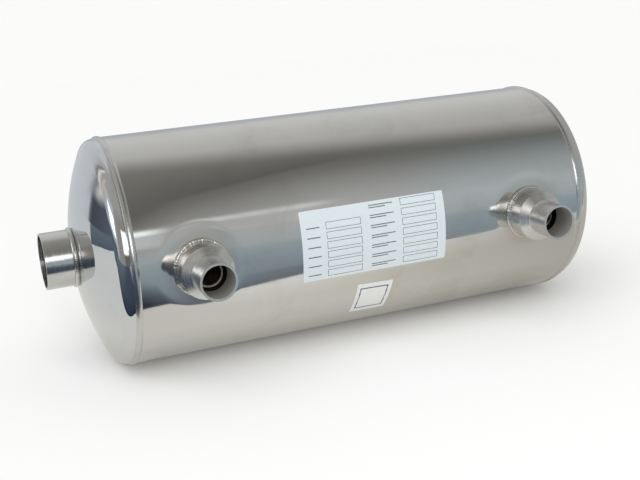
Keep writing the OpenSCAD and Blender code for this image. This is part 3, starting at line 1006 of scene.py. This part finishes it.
# Colours by the place along the cylinder in metres.
TABLE = [(-0.45, (0.66, 0.68, 0.67)), (-0.25, (0.71, 0.70, 0.66)), (0.0, (0.70, 0.685, 0.615)),
         (0.25, (0.53, 0.515, 0.465)), (1.9, (0.51, 0.495, 0.45))]
# The second colour is a painted shadow: the object's shadow on the table, as the steel shows it.
TABLE_BACK, PAINTED_SHADOW_UNDER_OBJECT = (0.61, 0.635, 0.655), (0.03, 0.03, 0.03)
EDGE_GAIN = (1.24, 1.26, 1.34)
# The front edge runs about where y + EDGE_Y + EDGE_SLOPE * x is 0.
EDGE_Y, EDGE_SLOPE = 0.188, 0.27


def table_light(x, y):
    """x and y in metres: brighter near the front edge, with a painted shadow under the object."""
    shown = blend(stops(x, TABLE), TABLE_BACK, step(y, 0.3, 1.0))
    bright = step(x, -0.18, -0.06) * (1.0 - step(y + EDGE_Y + EDGE_SLOPE * x, 0.0, 0.09))
    shown = blend(shown, times(shown, EDGE_GAIN), bright)
    # Painted shadow of the object, along the line under its axis.
    shade = 0.6 * (1.0 - step(abs(y - axis.y), 0.01, 0.10)) * inside(x, -0.22, 0.22, 0.05)
    return blend(shown, PAINTED_SHADOW_UNDER_OBJECT, shade)


screen("table", TABLE_COLUMNS, TABLE_ROWS, lambda x, y: (x, y, TABLE_HEIGHT), table_light)

# %% Floor surround
SURROUND_HEIGHT = 0.002

# The table's edge: x and y in metres, and the way outward in degrees.
EDGE = [(1.9, -0.72, 270), (0.9, -0.44, 270), (0.4, -0.30, 270), (0.2, -0.243, 270), (0.1, -0.213, 270),
        (0.0, -0.188, 270), (-0.1, -0.162, 268), (-0.15, -0.156, 265), (-0.2, -0.150, 262),
        (-0.25, -0.13, 250), (-0.38, -0.08, 245), (-0.5, -0.03, 240), (-0.65, 0.03, 235),
        (-0.85, 0.09, 225), (-1.0, 0.2, 205), (-1.15, 0.36, 185), (-1.0, 0.55, 150), (-0.85, 0.63, 130)]
# Colours by metres outward from the edge.
OUTWARD = [(0.0, (0.13, 0.15, 0.18)), (0.02, (0.19, 0.22, 0.26)), (0.06, (0.25, 0.30, 0.34)),
           (0.13, (0.29, 0.35, 0.39)), (0.35, (0.32, 0.39, 0.43)), (0.85, (0.36, 0.43, 0.46)),
           (2.4, (0.38, 0.44, 0.47))]
AS_IT_IS, FAR_LEFT_SHADE, LEFT_SHADE = (1.0, 1.0, 1.0), (0.36, 0.38, 0.43), (0.19, 0.21, 0.27)
RIGHT_SKIP, RIGHT_SHARE = 0.2, 0.8


def on_surround(point, out):
    """So far outward from a point on the table's edge."""
    x, y, turn = point
    return (x + out * math.cos(math.radians(turn)), y + out * math.sin(math.radians(turn)), SURROUND_HEIGHT)


def surround_light(point, out):
    """Paler at the right, as if further from the edge, and shaded at the left."""
    x = point[0]
    shown = blend(stops(out, OUTWARD), stops(out + RIGHT_SKIP, OUTWARD), RIGHT_SHARE * step(x, 0.0, 0.2))
    shade = blend(FAR_LEFT_SHADE, LEFT_SHADE, step(x, -0.6, -0.3))
    return times(shown, blend(AS_IT_IS, shade, 1.0 - step(x, -0.2, -0.15)))


screen("surround", EDGE, [out for out, _ in OUTWARD], on_surround, surround_light)

# %% [markdown]
# ## Wall at the right
# The right end would show the bare white sky past the arch. A plain wall closes it, bluish at its foot and
# grey above. Another dome could do it, but that end is turned away from the camera and shows little.

# %% Right wall
WALL_FOOT, WALL = (0.40, 0.45, 0.48), (0.40, 0.40, 0.39)
WALL_SIDES, WALL_HEIGHTS = [-2.0, 2.0], [0.0, 0.2, 0.6, 2.0]

# The wall stands where the arch ends, and its colour goes by the height alone.
screen("right_wall", WALL_SIDES, WALL_HEIGHTS, lambda y, z: (ARCH_END, y, z),
       lambda y, z: blend(WALL_FOOT, WALL, step(z, 0.1, 0.6)))

# %% Plain view transform
bpy.context.scene.view_settings.view_transform = "Standard"
